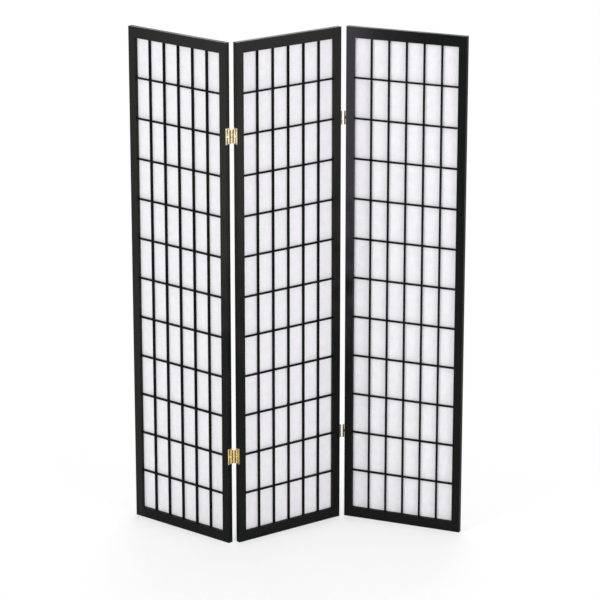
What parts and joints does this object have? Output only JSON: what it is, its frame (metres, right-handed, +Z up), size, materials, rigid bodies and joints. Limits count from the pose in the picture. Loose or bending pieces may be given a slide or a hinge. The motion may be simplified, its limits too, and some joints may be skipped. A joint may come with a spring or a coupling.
{
  "type": "shoji folding screen",
  "caption": "Free-standing folding screen: lacquered wood frames with a square lattice over white paper, joined by two-way pin hinges so the panels fold flat.",
  "frame": {"origin": "on the floor, middle of the footprint box of the screen as it stands", "axes": "+Z up; -Y is the front, the side with the lattice; X runs along the screen"},
  "size_m": [1.1492, 0.2886, 1.778],
  "materials": {
    "frame": "black satin lacquer on solid wood",
    "lattice": "black satin lacquer on thin wood bars",
    "beads": "black satin lacquer on wood bead",
    "paper": "white fibre paper, matte, lets light through",
    "hinge_brass": "polished brass",
    "hinge_pins": "drawn brass wire with riveted heads",
    "hinge_screws": "brass-plated countersunk wood screws with a cross recess"
  },
  "bodies": {
    "centre_panel": {"centre_bottom_rail": "frame", "centre_end_beads": "beads", "centre_horizontal_bars": "lattice", "centre_left_stile": "frame", "centre_paper": "paper", "centre_right_stile": "frame", "centre_side_beads": "beads", "centre_top_rail": "frame", "centre_vertical_bars": "lattice", "left_lower_hinge_inner_leaf": "hinge_brass", "left_lower_hinge_inner_pin": "hinge_pins", "left_lower_hinge_inner_screws": "hinge_screws", "left_upper_hinge_inner_leaf": "hinge_brass", "left_upper_hinge_inner_pin": "hinge_pins", "left_upper_hinge_inner_screws": "hinge_screws", "right_lower_hinge_inner_leaf": "hinge_brass", "right_lower_hinge_inner_pin": "hinge_pins", "right_lower_hinge_inner_screws": "hinge_screws", "right_upper_hinge_inner_leaf": "hinge_brass", "right_upper_hinge_inner_pin": "hinge_pins", "right_upper_hinge_inner_screws": "hinge_screws"},
    "left_panel": {"left_bottom_rail": "frame", "left_end_beads": "beads", "left_horizontal_bars": "lattice", "left_left_stile": "frame", "left_lower_hinge_outer_leaf": "hinge_brass", "left_lower_hinge_outer_pin": "hinge_pins", "left_lower_hinge_outer_screws": "hinge_screws", "left_paper": "paper", "left_right_stile": "frame", "left_side_beads": "beads", "left_top_rail": "frame", "left_upper_hinge_outer_leaf": "hinge_brass", "left_upper_hinge_outer_pin": "hinge_pins", "left_upper_hinge_outer_screws": "hinge_screws", "left_vertical_bars": "lattice"},
    "right_panel": {"right_bottom_rail": "frame", "right_end_beads": "beads", "right_horizontal_bars": "lattice", "right_left_stile": "frame", "right_lower_hinge_outer_leaf": "hinge_brass", "right_lower_hinge_outer_pin": "hinge_pins", "right_lower_hinge_outer_screws": "hinge_screws", "right_paper": "paper", "right_right_stile": "frame", "right_side_beads": "beads", "right_top_rail": "frame", "right_upper_hinge_outer_leaf": "hinge_brass", "right_upper_hinge_outer_pin": "hinge_pins", "right_upper_hinge_outer_screws": "hinge_screws", "right_vertical_bars": "lattice"},
    "left_upper_link": {"left_upper_hinge_link": "hinge_brass"},
    "left_lower_link": {"left_lower_hinge_link": "hinge_brass"},
    "right_upper_link": {"right_upper_hinge_link": "hinge_brass"},
    "right_lower_link": {"right_lower_hinge_link": "hinge_brass"}
  },
  "joints": [
    {"name": "left_inner_fold", "type": "hinge", "parent": "centre_panel", "child": "left_upper_link", "pos_m": [-0.20996, -0.13332, 1.45767], "axis": [0, 0, 1], "range_deg": [-71.5, 68.5]},
    {"name": "left_outer_fold", "type": "hinge", "parent": "left_upper_link", "child": "left_panel", "pos_m": [-0.22951, -0.13949, 1.45767], "axis": [0, 0, 1], "range_deg": [-33.3, 106.7]},
    {"name": "left_lower_link_fold", "type": "hinge", "parent": "centre_panel", "child": "left_lower_link", "pos_m": [-0.20996, -0.13332, 0.31833], "axis": [0, 0, 1], "range_deg": [-71.5, 68.5]},
    {"name": "right_inner_fold", "type": "hinge", "parent": "centre_panel", "child": "right_upper_link", "pos_m": [0.14714, 0.12612, 1.45767], "axis": [0, 0, 1], "range_deg": [-71.5, 68.5]},
    {"name": "right_outer_fold", "type": "hinge", "parent": "right_upper_link", "child": "right_panel", "pos_m": [0.16669, 0.13229, 1.45767], "axis": [0, 0, 1], "range_deg": [-49.9, 90.1]},
    {"name": "right_lower_link_fold", "type": "hinge", "parent": "centre_panel", "child": "right_lower_link", "pos_m": [0.14714, 0.12612, 0.31833], "axis": [0, 0, 1], "range_deg": [-71.5, 68.5]}
  ],
  "couplings": [
    {"joint": "left_lower_link_fold", "follows": "left_inner_fold", "ratio": 1},
    {"joint": "right_lower_link_fold", "follows": "right_inner_fold", "ratio": 1}
  ]
}
